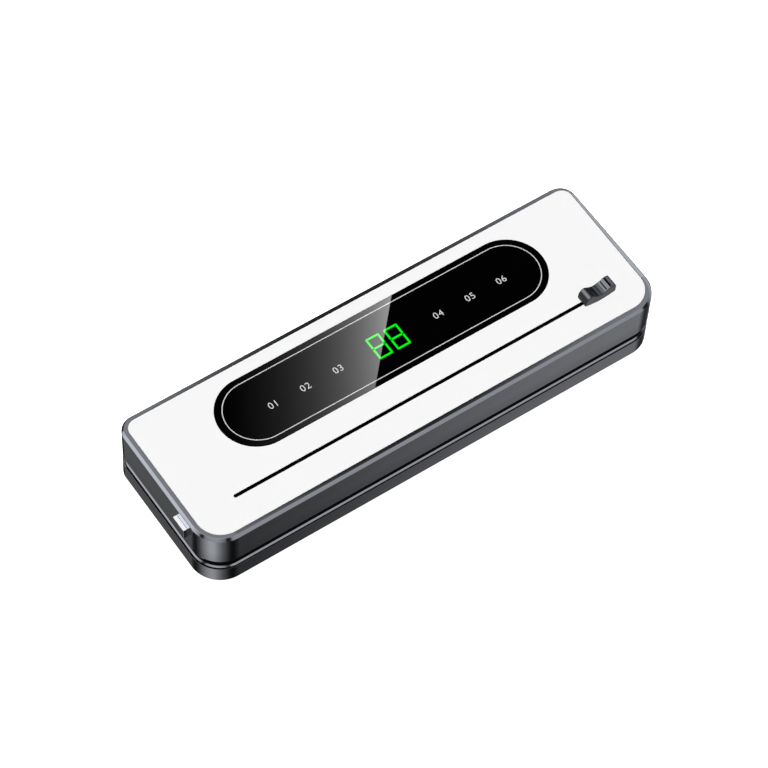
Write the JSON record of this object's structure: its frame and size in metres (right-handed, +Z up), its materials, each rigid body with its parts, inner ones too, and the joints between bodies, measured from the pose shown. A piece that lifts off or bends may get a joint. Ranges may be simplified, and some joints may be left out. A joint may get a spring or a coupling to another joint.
{
  "type": "vacuum sealer",
  "caption": "Long flat countertop vacuum sealer for food bags, with a hinged lid, a black touch window with a number display, a sliding bag cutter and a release button at its left end.",
  "frame": {"origin": "centre of the whole part's bounding box in X and Y, at the underside of the feet", "axes": "+X towards the right end, +Y towards the rear where the hinges are, +Z up"},
  "size_m": [0.38, 0.119, 0.0649],
  "materials": {
    "casing": "dark metallic lacquer with a soft shine",
    "panel": "bright white, smooth",
    "window": "black mirror gloss",
    "inner_plastic": "fine grained",
    "knob": "satin",
    "rubber": "matt",
    "silicone": "soft matt",
    "steel": "plain, lightly brushed",
    "brass": "plain turned",
    "board": "varnished",
    "tape": "woven and coated"
  },
  "bodies": {
    "base": {"base_shell": "casing", "base_bottom_cover": "inner_plastic", "foot_front_left": "rubber", "foot_front_right": "rubber", "foot_rear_left": "rubber", "foot_rear_right": "rubber", "base_screw_front_left": "steel", "base_screw_front_right": "steel", "base_screw_rear_left": "steel", "base_screw_rear_right": "steel", "lower_gasket": "silicone", "seal_pad": "silicone", "hinge_pin_left": "steel", "hinge_pin_right": "steel", "latch_catch": "steel"},
    "lid": {"board_ribbon": "tape", "control_glass": "window", "cutter_rail": "inner_plastic", "display_module": "inner_plastic", "heater_bar": "inner_plastic", "heater_strip": "steel", "heater_tape": "tape", "inlet_pin_left": "brass", "inlet_pin_right": "brass", "lid_frame": "casing", "lid_inner_cover": "inner_plastic", "lid_screw_front_left": "steel", "lid_screw_front_right": "steel", "lid_screw_rear_left": "steel", "lid_screw_rear_right": "steel", "main_board": "board", "power_inlet": "inner_plastic", "pump_bracket": "steel", "pump_head": "inner_plastic", "pump_motor": "steel", "release_spring": "steel", "release_valve_body": "steel", "suction_hose": "silicone", "top_panel": "panel", "touch_board": "board", "touch_pad_left_1": "rubber", "touch_pad_left_2": "rubber", "touch_pad_left_3": "rubber", "touch_pad_right_1": "rubber", "touch_pad_right_2": "rubber", "touch_pad_right_3": "rubber", "transformer": "steel", "upper_gasket": "silicone"},
    "cutter": {"cutter_carriage": "inner_plastic", "cutter_blade": "steel", "cutter_knob": "knob"},
    "release": {"release_button": "casing", "latch_hook": "steel"},
    "pump_rotor": {"pump_crank": "steel"},
    "valve_plunger": {"release_valve_plunger": "brass"}
  },
  "joints": [
    {"name": "lid_hinge", "type": "hinge", "parent": "base", "child": "lid", "pos_m": [0.00315, 0.05647, 0.02225], "axis": [-1, 0, 0], "range_deg": [0, 75]},
    {"name": "cutter_slide", "type": "slide", "parent": "lid", "child": "cutter", "axis": [-1, 0, 0], "range_m": [0, 0.2919]},
    {"name": "release_press", "type": "slide", "parent": "lid", "child": "release", "axis": [1, 0, 0], "range_m": [0, 0.003], "stiffness_N_per_m": 600, "deforming": ["release_spring"]},
    {"name": "pump_spin", "type": "hinge", "parent": "lid", "child": "pump_rotor", "pos_m": [0.16665, 0.01, 0.0411], "axis": [0, 1, 0], "continuous": true},
    {"name": "valve_lift", "type": "slide", "parent": "lid", "child": "valve_plunger", "axis": [0, 0, 1], "range_m": [0, 0.0015], "stiffness_N_per_m": 200}
  ]
}
